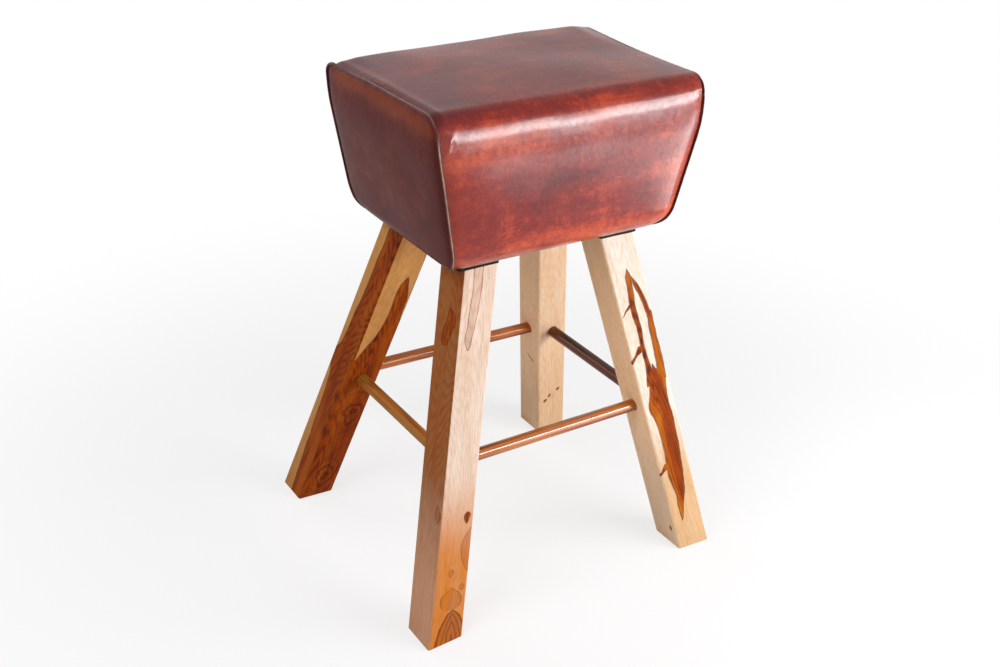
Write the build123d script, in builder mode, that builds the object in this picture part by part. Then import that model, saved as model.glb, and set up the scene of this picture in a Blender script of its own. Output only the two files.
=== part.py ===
from build123d import *
import os
from math import atan, hypot, pi, tan

os.makedirs("parts", exist_ok=True)

# All sizes are in millimetres. X runs along the seat, -Y is the front, the floor is at Z = 0.

# Heights of the main layers, from the floor up
leg_height = 521
plate_thickness = 6
cover_thickness = 1
seat_depth = 230

# Seat block, measured between its piped seams
seat_top_length = 440
seat_top_width = 308
seat_base_length = 360
seat_base_width = 291
top_round = 25
base_round = 38
top_crown = 5
top_seam_sag = 2
front_swell = 4
end_swell = 4
leather = 2

# Piping in the two end seams
piping_diameter = 6
piping_proud = 0.8
piping_tail = 4
seam_turn_share = 1.19

# Edges of the leather and the dust cover under the seat
tuck_width = 26
cover_margin = 6
panel_toe = 6

# Foam over the box
foam_top_thickness = 40
foam_side_thickness = 16.5
foam_hem = 6
foam_gap = 0.3

# Box inside the seat
base_board_thickness = 20
top_board_thickness = 15
box_wall = 18

# Wooden underframe
leg_stock = 58
leg_edge_round = 4
sole_chamfer = 2
foot_spread_x = 118.5
foot_spread_y = 132
back_right_foot_draw_in = 18
rung_diameter = 19
rung_height = 243
rung_stop_short = 12
rung_end_chamfer = 1
mortise_glue_room = 1

# Black plates on the leg tops
plate_size = 60
plate_overhang = 6
plate_corner_round = 3

# Lag screws that hold the legs
lag_diameter = 8
lag_reach_in_leg = 52
lag_head_across = 13
lag_head_height = 5.5
lag_inboard = 6
lag_outboard = 15
lag_tip = 2
washer_diameter = 18
washer_thickness = 1.6

# Screws that hold the box together
box_screw_diameter = 4
box_screw_head = 8
box_screw_length = 45
box_screw_pitch_x = 80
box_screw_pitch_y = 90
box_screw_sink = 1

# Staples
staple_crown = 10
staple_wire = 1
staple_leg = 9
leather_staple_edge = 10
leather_staple_pitch_x = 42
leather_staple_pitch_y = 36
cover_staple_edge = 11
cover_staple_pitch_x = 40
cover_staple_pitch_y = 32

# Clearances, and the overrun of cuts
fit_gap = 0.1
overrun = 10

# Levels
cover_z = leg_height + plate_thickness
seat_z = cover_z + cover_thickness
seam_z = seat_z + seat_depth
box_z = seat_z + leather
base_board_top_z = box_z + base_board_thickness
box_top_z = seam_z - leather - foam_top_thickness
top_board_z = box_top_z - top_board_thickness
box_inset = leather + foam_side_thickness

# How far the seat's walls lean outward for each unit of height
lean_x = (seat_top_length - seat_base_length) / 2 / seat_depth
lean_y = (seat_top_width - seat_base_width) / 2 / seat_depth


def half_length(z, inset=0):
    """Half the seat's length at a level, less a thickness measured square to the leaning end"""
    return seat_base_length / 2 + lean_x * (z - seat_z) - inset * hypot(1, lean_x)


def half_width(z, inset=0):
    """Half the seat's width at a level, less a thickness measured square to the leaning side"""
    return seat_base_width / 2 + lean_y * (z - seat_z) - inset * hypot(1, lean_y)


def round_share(lean):
    """How far a rounding between the underside and a leaning wall reaches, for a radius of one"""
    return tan((pi / 2 - atan(lean)) / 2)


# Where the flat underside ends and the rounding up into the walls begins
flat_half_length = seat_base_length / 2 - base_round * round_share(lean_x)
flat_half_width = seat_base_width / 2 - base_round * round_share(lean_y)


# Seat form: one form is crowned along the seat, the other across it, and the seat is what they share


def swelling_line(start, end, swell):
    """A straight line, or an arc that stands off it by the swell"""
    if swell:
        return SagittaArc(start, end, swell)
    return Line(start, end)


def lengthwise_form(inset=0):
    """Front, top, back and underside: straight at the two end seams, swollen at mid length"""
    low = seat_z + inset
    high = seam_z - inset
    reach = seat_top_length / 2 + overrun
    foot = half_width(low, inset)
    brow = half_width(high, inset)
    with BuildPart() as form:
        for x, side, rise in (
            (-reach, 0, -top_seam_sag),
            (0, front_swell, top_crown),
            (reach, 0, -top_seam_sag),
        ):
            with BuildSketch(Plane.YZ.offset(x)) as outline:
                with BuildLine():
                    Line((-foot, low), (foot, low))
                    swelling_line((foot, low), (brow, high), -side)
                    swelling_line((brow, high), (-brow, high), -rise)
                    swelling_line((-brow, high), (-foot, low), -side)
                make_face()
                levels = outline.vertices().group_by(Axis.Y)
                fillet(levels[0], base_round - inset)
                levels = outline.vertices().group_by(Axis.Y)
                fillet(levels[-1], top_round - inset)
        loft()
    return form.part


def crosswise_form(inset=0):
    """The two end panels and the underside: straight at the seams, swollen at mid width"""
    low = seat_z + inset
    high = seam_z + overrun
    reach = seat_top_width / 2 + overrun
    foot = half_length(low, inset)
    seam = half_length(seam_z, inset)
    brow = half_length(high, inset)
    with BuildPart() as form:
        for y, end in ((-reach, 0), (0, end_swell), (reach, 0)):
            with BuildSketch(Plane.XZ.offset(y)) as outline:
                with BuildLine():
                    Line((-foot, low), (foot, low))
                    swelling_line((foot, low), (seam, seam_z), -end)
                    Polyline((seam, seam_z), (brow, high), (-brow, high), (-seam, seam_z))
                    swelling_line((-seam, seam_z), (-foot, low), -end)
                make_face()
                fillet(outline.vertices().group_by(Axis.Y)[0], base_round - inset)
        loft()
    return form.part


def seam_point(side_x, side_y, z):
    """A point on the line where an end and a side meet, standing proud by the piping's share"""
    x = side_x * half_length(z, -piping_proud)
    y = side_y * half_width(z, -piping_proud)
    return Vector(x, y, z)


def seam_roll(side_x, extra_radius=0):
    """A round roll along one end seam: up the front, over the sagging top and down the back"""
    base_turn = seam_turn_share * base_round
    tuck = Vector(-side_x, 1, 0).normalized() * 2 * base_turn
    untuck = Vector(-side_x, -1, 0).normalized() * 2 * base_turn
    top_middle = Vector(side_x * half_length(seam_z, -piping_proud), 0, seam_z - top_seam_sag)
    sag_radius = half_width(seam_z) ** 2 / (2 * top_seam_sag)
    front_foot = seam_point(side_x, -1, seat_z)
    back_foot = seam_point(side_x, 1, seat_z)
    with BuildPart() as roll:
        with BuildLine() as route:
            FilletPolyline(
                front_foot + tuck,
                front_foot,
                seam_point(side_x, -1, seam_z),
                top_middle,
                seam_point(side_x, 1, seam_z),
                back_foot,
                back_foot + untuck,
                radius=(base_turn, top_round, sag_radius, top_round, base_turn),
            )
        with BuildSketch(Plane(origin=route.line @ 0, z_dir=route.line % 0)):
            Circle(piping_diameter / 2 + extra_radius)
        sweep()
        split(bisect_by=Plane.XY.offset(seat_z + piping_tail - extra_radius))
    return roll.part


# Underframe: each leg leans out from under its plate, and the rungs stop short of its centre line
leg_top_x = flat_half_length - plate_size / 2
leg_top_y = flat_half_width - plate_size / 2
legs = {
    "front_left": (-1, -1, 0),
    "front_right": (1, -1, 0),
    "back_left": (-1, 1, 0),
    "back_right": (1, 1, back_right_foot_draw_in),
}
rungs = {
    "front": ("front_left", "front_right"),
    "back": ("back_left", "back_right"),
    "left": ("front_left", "back_left"),
    "right": ("front_right", "back_right"),
}


def leg_point(name, z):
    """The point on a leg's centre line at a level"""
    side_x, side_y, draw_in = legs[name]
    drop_share = 1 - z / leg_height
    x = leg_top_x + foot_spread_x * drop_share
    y = leg_top_y + (foot_spread_y - draw_in) * drop_share
    return Vector(side_x * x, side_y * y, z)


def rung_body(name, extra_radius=0, extra_length=0):
    """A dowel between two legs that stops short of their centre lines"""
    start, end = (leg_point(leg, rung_height) for leg in rungs[name])
    run = end - start
    half_run = run.length / 2 - rung_stop_short
    with BuildPart() as body:
        with BuildSketch(Plane(origin=(start + end) / 2, z_dir=run)):
            Circle(rung_diameter / 2 + extra_radius)
        extrude(amount=half_run + extra_length, both=True)
        chamfer(body.edges().filter_by(GeomType.CIRCLE), rung_end_chamfer)
    return body.part


def lag_spots():
    """Two lag screws a leg, set towards the side that the leg leans to"""
    spots = []
    for side_x, side_y, _ in legs.values():
        spots.append((side_x * (leg_top_x - lag_inboard), side_y * (leg_top_y + lag_outboard)))
        spots.append((side_x * (leg_top_x + lag_outboard), side_y * (leg_top_y - lag_inboard)))
    return spots


def lag_set(extra=0):
    """Hex-headed lag screws, their heads on washers inside the box"""
    under_head_z = base_board_top_z + washer_thickness
    tip_z = leg_height - lag_reach_in_leg - extra
    with BuildPart() as lags:
        with BuildSketch(Plane.XY.offset(tip_z)):
            with Locations(*lag_spots()):
                Circle(lag_diameter / 2 + extra)
        extrude(amount=under_head_z - tip_z)
        chamfer(lags.edges().group_by(Axis.Z)[0], lag_tip)
        with BuildSketch(Plane.XY.offset(under_head_z)):
            with Locations(*lag_spots()):
                RegularPolygon(lag_head_across / 2, 6, major_radius=False)
        extrude(amount=lag_head_height)
    return lags.part


# Box: a block that leans like the seat, cut into boards by planes that follow its walls


def box_half_length(z):
    return half_length(z, box_inset)


def box_half_width(z):
    return half_width(z, box_inset)


# The box's lower edge is rounded over, so that the leather rolls under it
box_round = min(
    box_wall - foam_gap,
    max(
        (box_half_length(box_z) - flat_half_length + foam_gap) / round_share(lean_x),
        (box_half_width(box_z) - flat_half_width + foam_gap) / round_share(lean_y),
    ),
)


def box_block(low, high):
    """The leaning block that the box fills, between two levels"""
    with BuildPart() as block:
        for z in (low, high):
            with BuildSketch(Plane.XY.offset(z)):
                Rectangle(2 * box_half_length(z), 2 * box_half_width(z))
        loft(ruled=True)
    return block.part


def box_plane(side_x, side_y, depth=0):
    """A leaning plane through one wall of the box, some way in from its face, facing out"""
    x = side_x * (box_half_length(box_z) - depth)
    y = side_y * (box_half_width(box_z) - depth)
    lean = lean_x if side_x else lean_y
    return Plane(origin=(x, y, box_z), z_dir=(side_x, side_y, -lean))


def wall_slice(block, side_x, side_y, depth=0):
    """The part of a block outside one wall plane; an end's slice fits between front and back"""
    with BuildPart() as piece:
        add(block)
        split(bisect_by=box_plane(side_x, side_y, depth))
        if side_x:
            split(bisect_by=box_plane(0, 1, depth), keep=Keep.BOTTOM)
            split(bisect_by=box_plane(0, -1, depth), keep=Keep.BOTTOM)
    return piece.part


def box_screw(extra=0):
    """A countersunk wood screw, point down, with its head's face at the origin"""
    shank = box_screw_diameter / 2 + extra
    head = box_screw_head / 2 + extra
    length = box_screw_length + extra
    with BuildPart() as screw:
        with BuildSketch(Plane.XZ):
            with BuildLine():
                Polyline(
                    (0, 0),
                    (head, 0),
                    (shank, shank - head),
                    (shank, box_screw_diameter - length),
                    (0, -length),
                    close=True,
                )
            make_face()
        revolve(axis=Axis.Z)
    return screw.part


def box_screw_set(extra=0):
    """Screws down through the top board into the walls, and in through the walls to the base"""
    down = box_screw(extra)
    wall_x = box_half_length(top_board_z) - box_wall / 2
    wall_y = box_half_width(top_board_z) - box_wall / 2
    base_middle_z = box_z + base_board_thickness / 2
    face_x = box_half_length(base_middle_z) - box_screw_sink
    face_y = box_half_width(base_middle_z) - box_screw_sink
    with BuildPart() as screws:
        with Locations((0, 0, box_top_z)):
            with GridLocations(box_screw_pitch_x, 2 * wall_y, 3, 2):
                add(down)
            with GridLocations(2 * wall_x, box_screw_pitch_y, 2, 2):
                add(down)
        for side in (-1, 1):
            long_face = Plane((0, side * face_y, base_middle_z), (1, 0, 0), (0, side, 0))
            end_face = Plane((side * face_x, 0, base_middle_z), (0, 1, 0), (side, 0, 0))
            with Locations(long_face):
                with GridLocations(box_screw_pitch_x, 0, 3, 1):
                    add(down)
            with Locations(end_face):
                with GridLocations(box_screw_pitch_y, 0, 2, 1):
                    add(down)
    return screws.part


def staple_set(crown_z, edge, pitch_x, pitch_y, count_x, count_y, extra=0):
    """Staples driven up from a level in four rows, set in from the edges of the flat underside"""
    row_x = flat_half_length - edge
    row_y = flat_half_width - edge
    along = GridLocations(pitch_x, 2 * row_y, count_x, 2).local_locations
    across = GridLocations(2 * row_x, pitch_y, 2, count_y).local_locations
    wire = staple_wire + 2 * extra
    leg_span = staple_crown - staple_wire
    plane = Plane.XY.offset(crown_z)
    with BuildPart() as staples:
        for spots, turn in ((along, 0), (across, 90)):
            places = [Location(spot.position, (0, 0, turn)) for spot in spots]
            with BuildSketch(plane):
                with Locations(*places):
                    Rectangle(staple_crown + 2 * extra, wire)
            extrude(amount=staple_wire + extra)
            with BuildSketch(plane):
                with Locations(*places):
                    with GridLocations(leg_span, 0, 2, 1):
                        Rectangle(wire, wire)
            extrude(amount=staple_leg + extra)
    return staples.part


def leather_staple_set(extra=0):
    return staple_set(
        seat_z, leather_staple_edge, leather_staple_pitch_x, leather_staple_pitch_y, 6, 4, extra
    )


def cover_staple_set(extra=0):
    return staple_set(
        cover_z, cover_staple_edge, cover_staple_pitch_x, cover_staple_pitch_y, 4, 3, extra
    )


def finish(piece, label):
    piece.part.label = label
    export_step(piece.part, f"parts/{label}.step")


wrap_form = lengthwise_form()
wrap_lining = lengthwise_form(leather)
end_form = crosswise_form()
end_lining = crosswise_form(leather)
lag_space = lag_set(fit_gap)
screw_space = box_screw_set(fit_gap)
leather_staple_space = leather_staple_set(fit_gap)
cover_staple_space = cover_staple_set(fit_gap)

# Legs: square stock with eased edges, cut level at both ends, bored for two rungs and two lags
for name, (side_x, side_y, draw_in) in legs.items():
    foot = leg_point(name, 0)
    run = leg_point(name, leg_height) - foot
    with BuildPart() as leg:
        with BuildSketch(Plane(origin=foot + run / 2, x_dir=(1, 0, -run.X / run.Z), z_dir=run)):
            RectangleRounded(leg_stock, leg_stock, leg_edge_round)
        extrude(amount=run.length / 2 + leg_stock, both=True)
        split(bisect_by=Plane.XY)
        split(bisect_by=Plane.XY.offset(leg_height), keep=Keep.BOTTOM)
        chamfer(leg.faces().sort_by(Axis.Z)[0].edges(), sole_chamfer)
        for rung_name, ends in rungs.items():
            if name in ends:
                add(rung_body(rung_name, fit_gap, mortise_glue_room), mode=Mode.SUBTRACT)
        add(lag_space, mode=Mode.SUBTRACT)
    finish(leg, f"leg_{name}")

# Rungs: plain dowels, glued into the legs
for name in rungs:
    with BuildPart() as rung:
        add(rung_body(name))
    finish(rung, f"rung_{name}")

# Plates: one on each leg's top, reaching a little past the leg and the flat of the underside
for name, (side_x, _, _) in legs.items():
    middle = leg_point(name, leg_height) + Vector(side_x * plate_overhang / 2, 0, 0)
    with BuildPart() as plate:
        with BuildSketch(Plane(origin=middle, z_dir=(0, 0, 1))):
            RectangleRounded(plate_size + plate_overhang, plate_size, plate_corner_round)
        extrude(amount=plate_thickness)
        add(lag_space, mode=Mode.SUBTRACT)
    finish(plate, f"leg_plate_{name}")

# Lag screws and their washers
with BuildPart() as lag_screws:
    add(lag_set())
finish(lag_screws, "lag_screws")

with BuildPart() as lag_washers:
    with BuildSketch(Plane.XY.offset(base_board_top_z)):
        with Locations(*lag_spots()):
            Circle(washer_diameter / 2)
            Circle(lag_diameter / 2 + fit_gap, mode=Mode.SUBTRACT)
    extrude(amount=washer_thickness)
finish(lag_washers, "lag_washers")

# Base board, between the box's walls
with BuildPart() as base_board:
    add(box_block(box_z, base_board_top_z))
    for side_x, side_y in ((0, -1), (0, 1), (-1, 0), (1, 0)):
        split(bisect_by=box_plane(side_x, side_y, box_wall), keep=Keep.BOTTOM)
    add(lag_space, mode=Mode.SUBTRACT)
    add(screw_space, mode=Mode.SUBTRACT)
    add(leather_staple_space, mode=Mode.SUBTRACT)
    add(cover_staple_space, mode=Mode.SUBTRACT)
finish(base_board, "base_board")

# Box walls and top board
with BuildPart() as wall_block:
    add(box_block(box_z, top_board_z))
    fillet(wall_block.faces().sort_by(Axis.Z)[0].edges(), box_round)
for name, side_x, side_y in (("front", 0, -1), ("back", 0, 1), ("left", -1, 0), ("right", 1, 0)):
    with BuildPart() as wall:
        add(wall_slice(wall_block.part, side_x, side_y, box_wall))
        add(screw_space, mode=Mode.SUBTRACT)
    finish(wall, f"frame_{name}")

with BuildPart() as top_board:
    add(box_block(top_board_z, box_top_z))
    add(screw_space, mode=Mode.SUBTRACT)
finish(top_board, "top_board")

with BuildPart() as box_screws:
    add(box_screw_set())
finish(box_screws, "box_screws")

# Foam: it fills the room between the box and the leather
with BuildPart() as foam_fill:
    add(lengthwise_form(leather + foam_gap))
    add(crosswise_form(leather + foam_gap), mode=Mode.INTERSECT)
foam_block = foam_fill.part

with BuildPart() as foam_top:
    add(foam_block)
    split(bisect_by=Plane.XY.offset(box_top_z))
finish(foam_top, "foam_top")

with BuildPart() as foam_ring:
    add(foam_block)
    split(bisect_by=Plane.XY.offset(box_top_z), keep=Keep.BOTTOM)
    split(bisect_by=Plane.XY.offset(box_z + foam_hem))
for name, side_x, side_y in (("front", 0, -1), ("back", 0, 1), ("left", -1, 0), ("right", 1, 0)):
    with BuildPart() as foam_wall:
        add(wall_slice(foam_ring.part, side_x, side_y))
    finish(foam_wall, f"foam_{name}")

# Piping: one roll in each end seam
piping_groove = {}
for name, side_x in (("left", -1), ("right", 1)):
    piping_groove[name] = seam_roll(side_x, fit_gap)
    with BuildPart() as piping:
        add(seam_roll(side_x))
    finish(piping, f"piping_{name}")

# Leather wrap: front, top and back in one, tucked under the base board
with BuildPart() as leather_wrap:
    add(wrap_form)
    add(wrap_lining, mode=Mode.SUBTRACT)
    add(end_form, mode=Mode.INTERSECT)
    with BuildSketch(Plane.XY.offset(seat_z - overrun)):
        Rectangle(2 * (flat_half_length - tuck_width), 2 * (flat_half_width - tuck_width))
    extrude(amount=2 * overrun, mode=Mode.SUBTRACT)
    for groove in piping_groove.values():
        add(groove, mode=Mode.SUBTRACT)
    add(lag_space, mode=Mode.SUBTRACT)
    add(leather_staple_space, mode=Mode.SUBTRACT)
    add(cover_staple_space, mode=Mode.SUBTRACT)
finish(leather_wrap, "leather_wrap")

# End panels, rolled under at the foot and trimmed to a blunt toe
with BuildPart() as end_shells:
    add(wrap_lining)
    add(end_form, mode=Mode.INTERSECT)
    add(end_lining, mode=Mode.SUBTRACT)
    with BuildSketch(Plane.XY.offset(seat_z)):
        Rectangle(2 * (flat_half_length + panel_toe), seat_top_width)
    extrude(amount=base_round, mode=Mode.SUBTRACT)
for name, shell in zip(("left", "right"), end_shells.solids().sort_by(Axis.X)):
    with BuildPart() as end_panel:
        add(shell)
        add(piping_groove[name], mode=Mode.SUBTRACT)
    finish(end_panel, f"end_panel_{name}")

# Dust cover over the tucked edges, clamped by the plates
with BuildPart() as dust_cover:
    with BuildSketch(Plane.XY.offset(cover_z)):
        Rectangle(2 * (flat_half_length - cover_margin), 2 * (flat_half_width - cover_margin))
    extrude(amount=cover_thickness)
    add(lag_space, mode=Mode.SUBTRACT)
    add(cover_staple_space, mode=Mode.SUBTRACT)
finish(dust_cover, "dust_cover")

with BuildPart() as leather_staples:
    add(leather_staple_set())
finish(leather_staples, "leather_staples")

with BuildPart() as cover_staples:
    add(cover_staple_set())
finish(cover_staples, "cover_staples")
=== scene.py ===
"""A bar stool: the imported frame, dressed in piped leather, figured hardwood and black plates.

Everything is in metres, in the solids' frame: X along the seat, -Y the front, Z up from the floor.
"""

import bpy
import numpy as np
from mathutils import Matrix, Vector


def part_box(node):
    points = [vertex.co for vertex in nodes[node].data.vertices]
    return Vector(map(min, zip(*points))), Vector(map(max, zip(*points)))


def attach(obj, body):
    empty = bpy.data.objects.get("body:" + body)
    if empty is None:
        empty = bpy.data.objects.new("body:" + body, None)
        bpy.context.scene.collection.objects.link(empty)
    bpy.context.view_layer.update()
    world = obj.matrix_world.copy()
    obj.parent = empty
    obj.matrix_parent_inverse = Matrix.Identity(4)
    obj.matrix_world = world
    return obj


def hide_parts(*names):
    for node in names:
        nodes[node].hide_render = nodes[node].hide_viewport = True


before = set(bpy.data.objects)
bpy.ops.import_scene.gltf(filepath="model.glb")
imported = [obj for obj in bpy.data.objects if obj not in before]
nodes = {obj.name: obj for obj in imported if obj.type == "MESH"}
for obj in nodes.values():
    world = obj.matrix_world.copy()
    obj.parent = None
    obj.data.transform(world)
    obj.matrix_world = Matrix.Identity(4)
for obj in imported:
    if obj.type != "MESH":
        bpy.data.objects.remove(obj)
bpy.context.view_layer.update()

# -------- sizes, in metres
MM = 0.001

SEAT_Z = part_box("leather_wrap")[0].z
SEAT_DEPTH = 230 * MM
SEAM_Z = SEAT_Z + SEAT_DEPTH
TOP_LENGTH = 440 * MM
TOP_WIDTH = 308 * MM
BASE_LENGTH = 360 * MM
BASE_WIDTH = 291 * MM
TOP_ROUND = 25 * MM
# The leather's roundings at the foot of the ends, of the front and back, and of the solids
END_BASE_ROUND = 27 * MM
WALL_BASE_ROUND = 46 * MM
SOLID_BASE_ROUND = 38 * MM
# The front's soft shoulder, by corners: how far behind half the top's width, how far under the
# seam, and the rounding
FRONT_CORNERS = (
    (-0.5 * MM, 66 * MM, 250 * MM),
    (4 * MM, 30 * MM, 80 * MM),
    (12.5 * MM, 0, 28 * MM),
)
# The one bend of an end's wall, given likewise
END_BEND_IN, END_BEND_UNDER, END_BEND_ROUND = 4 * MM, 56 * MM, 300 * MM

TOP_CROWN = 5 * MM
SEAM_SAG = 2 * MM
# The top's back edge starts this low on the left and changes by smooth steps: how far up, and
# where each starts and its length, in shares of the half length
BACK_EDGE_START = -6 * MM
BACK_EDGE_STEPS = (
    (4.0 * MM, -1, 0.2),
    (3.2 * MM, -1, 0.5),
    (4.3 * MM, -0.35, 0.9),
    (-4.0 * MM, 0.84, 0.16),
)
FRONT_SWELL = 4 * MM
END_SWELL = 4 * MM
LEATHER = 2 * MM
TUCK = 26 * MM

# The piping's radius, and how far it stands out of the seam. On the right it is drawn in deeper
PIPING_RADIUS = {-1: 2.1 * MM, 1: 1.5 * MM}
PIPING_PROUD = {-1: 0.2 * MM, 1: -2.1 * MM}
PIPING_TAIL = 4 * MM
PIPING_TURNS = 24

LEAN_X = (TOP_LENGTH - BASE_LENGTH) / 2 / SEAT_DEPTH
LEAN_Y = (TOP_WIDTH - BASE_WIDTH) / 2 / SEAT_DEPTH

# How the leather lies near a seam
SEAM_DIP = 2.2 * MM
SEAM_DIP_REACH = 9 * MM
PUCKER_DEPTH = 0.22 * MM
PUCKER_REACH = 16 * MM
PUCKER_PITCH = 17 * MM
WAVE_DEPTH = 0.5 * MM
# A roll beside the top's left seam: its height, its distance from the seam, and its half width
ROLL_HEIGHT, ROLL_GAP, ROLL_REACH = 0.9 * MM, 15 * MM, 7 * MM
# How the right end's top edge is turned in under the wrap's: how deep, and how fast that fades
TURN_IN, TURN_IN_REACH = 2.5 * MM, 5 * MM
# A pleat at the front's upper left: its middle, its direction, half its length, half its width
PLEAT_X, PLEAT_Z = -203 * MM, 722 * MM
PLEAT_COS, PLEAT_SIN = 0.4, 0.92
PLEAT_LONG, PLEAT_WIDE, PLEAT_HEIGHT = 13 * MM, 3.6 * MM, 1.5 * MM

# Points in each grid
ARC_STEPS = 40
SIDE_POINTS, WRAP_COLUMNS = 330, 140
END_POINTS, END_ROWS, END_COLUMNS = 140, 130, 130

LEG_NAMES = ("front_left", "front_right", "back_left", "back_right")
LEG_STOCK = 58 * MM
LEG_LENGTH = 550 * MM

# -------- the seat's outlines


def outline(corners, radii, count):
    """An open outline through its corners, each rounded by an arc tangent to both of its runs.

    The points are spaced evenly along the joined runs and arcs, and the normals are the tangents
    turned a quarter turn to the right.
    """
    corners = np.asarray(corners, float)
    runs = [corners[:1]]
    for before, corner, after, radius in zip(corners, corners[1:], corners[2:], radii):
        arrive = (corner - before) / np.linalg.norm(corner - before)
        leave = (after - corner) / np.linalg.norm(after - corner)
        turn = np.arctan2(arrive[0] * leave[1] - arrive[1] * leave[0], arrive @ leave)
        side = np.sign(turn) * np.array([-arrive[1], arrive[0]])
        start = corner - arrive * radius * np.tan(abs(turn) / 2)
        angle = np.linspace(0, abs(turn), ARC_STEPS)[:, None]
        runs.append(start + radius * (np.sin(angle) * arrive + (1 - np.cos(angle)) * side))
    runs.append(corners[-1:])
    line = np.concatenate(runs)
    reach = np.concatenate([[0], np.cumsum(np.linalg.norm(np.diff(line, axis=0), axis=1))])
    spots = np.linspace(0, reach[-1], count)
    points = np.stack([np.interp(spots, reach, line[:, 0]), np.interp(spots, reach, line[:, 1])], 1)
    tangents = np.gradient(points, axis=0)
    tangents /= np.linalg.norm(tangents, axis=1)[:, None]
    return points, np.stack([tangents[:, 1], -tangents[:, 0]], 1)


def tucked_in(half_foot, lean):
    """Where the tucked leather ends: the foot less the tangent length of the solids' rounding,
    less the tuck, so that the staples go through it"""
    return half_foot - SOLID_BASE_ROUND * np.tan((np.pi / 2 - np.arctan(lean)) / 2) - TUCK


INNER_X = tucked_in(BASE_LENGTH / 2, LEAN_X)
INNER_Y = tucked_in(BASE_WIDTH / 2, LEAN_Y)

side_outline, side_normals = outline(
    [
        (-INNER_Y, SEAT_Z),
        (-BASE_WIDTH / 2, SEAT_Z),
        *((behind - TOP_WIDTH / 2, SEAM_Z - under) for behind, under, _ in FRONT_CORNERS),
        (TOP_WIDTH / 2, SEAM_Z),
        (BASE_WIDTH / 2, SEAT_Z),
        (INNER_Y, SEAT_Z),
    ],
    (WALL_BASE_ROUND, *(radius for *_, radius in FRONT_CORNERS), TOP_ROUND, WALL_BASE_ROUND),
    SIDE_POINTS,
)
side_normals = -side_normals
end_outline, end_normals = outline(
    [
        (INNER_X, SEAT_Z),
        (BASE_LENGTH / 2, SEAT_Z),
        (TOP_LENGTH / 2 - END_BEND_IN, SEAM_Z - END_BEND_UNDER),
        (TOP_LENGTH / 2, SEAM_Z),
    ],
    (END_BASE_ROUND, END_BEND_ROUND),
    END_POINTS,
)

FRONT_HALF = side_outline[:, 0] < 0
TOP_FLAT_Y = TOP_WIDTH / 2 - TOP_ROUND * np.tan((np.pi / 2 + np.arctan(LEAN_Y)) / 2)


def half_length(z):
    """The end outline's X at a level: its rounding at the foot, then its leaning wall"""
    return np.interp(z, end_outline[:, 1], end_outline[:, 0])


def front_and_back(z):
    """The side outline's two Y at a level, in front and behind"""
    front, back = side_outline[FRONT_HALF], side_outline[~FRONT_HALF][::-1]
    return np.interp(z, front[:, 1], front[:, 0]), np.interp(z, back[:, 1], back[:, 0])


def dome(x):
    """One in the middle and nought at plus and minus one, along a parabola"""
    return np.clip(1 - x**2, 0, 1)


def ease(x):
    """Nought below 0, one above 1, and a smooth step between"""
    x = np.clip(x, 0, 1)
    return x * x * (3 - 2 * x)


def bell(*offsets):
    """One at the middle and fading smoothly with distance: e to the minus sum of squares"""
    return np.exp(-sum(offset**2 for offset in offsets))


def shares(count):
    """Shares from -1 to 1, closer together towards both ends, as a sine's steps are"""
    return np.sin(np.linspace(-np.pi / 2, np.pi / 2, count) * 0.9) / np.sin(np.pi / 2 * 0.9)


def top_rise(y, v):
    """How far the top stands above the seam's level.

    It sags at the end seams and is crowned between them. Towards the back the back edge's smooth
    steps are added, which rise to the right and draw both corners down.
    """
    crown = dome(y / TOP_FLAT_Y) * ((TOP_CROWN + SEAM_SAG) * dome(v) - SEAM_SAG)
    steps = sum(up * ease((v - start) / reach) for up, start, reach in BACK_EDGE_STEPS)
    return crown + (BACK_EDGE_START + steps) * ease(y / TOP_FLAT_Y)


def seam_relief(gap, along, wide=0.0, flat=0.0):
    """The leather's dip beside a seam and its puckers, by the distance from the seam.

    The dip is a bell curve, up to a third wider where wide is 1 and nearly gone where flat is 1.
    The puckers are a sine along the seam, uneven in pitch, that fades away from it.
    """
    dip = bell(gap / (SEAM_DIP_REACH * (1 + 0.35 * wide)))
    dip = SEAM_DIP * (1 + 0.2 * wide - 0.85 * flat) * dip
    phase = along * 2 * np.pi / PUCKER_PITCH
    ripple = np.sin(phase + 1.3 * np.sin(phase * 0.37) + 0.8 * np.sin(phase * 0.61))
    return -dip - PUCKER_DEPTH * np.exp(-gap / PUCKER_REACH) * (0.5 + 0.5 * ripple)


def pleat(x, z, normal_y):
    """A short slanting fold on the front, where the leather is drawn to the left seam's top.

    It is a hill of two bell curves, a long one on its slanting line and a narrow one across.
    """
    x, z = x - PLEAT_X, z - PLEAT_Z
    along, across = PLEAT_COS * x + PLEAT_SIN * z, PLEAT_SIN * x - PLEAT_COS * z
    return PLEAT_HEIGHT * bell(along / PLEAT_LONG, across / PLEAT_WIDE) * (normal_y < -0.5)


def slow_wave(a, b):
    """A few long waves across a panel, as stretched leather has over foam: crossed sines"""
    return WAVE_DEPTH * (
        np.sin(a * 23 + 1.1) * np.sin(b * 31 + 0.4) + 0.6 * np.sin(a * 47 - b * 29 + 2.0)
    )


# -------- mesh helpers


def grid_object(name, points, closed_across=False, attributes=None):
    """A mesh on a grid of points (rows, columns, 3), one face between each four neighbours"""
    rows, columns = points.shape[:2]
    index = np.arange(rows * columns).reshape(rows, columns)
    right = np.roll(index, -1, axis=1)
    if not closed_across:
        index, right = index[:, :-1], right[:, :-1]
    faces = np.stack([index[:-1], right[:-1], right[1:], index[1:]], -1).reshape(-1, 4)
    return mesh_object(name, points.reshape(-1, 3), faces, attributes)


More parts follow.
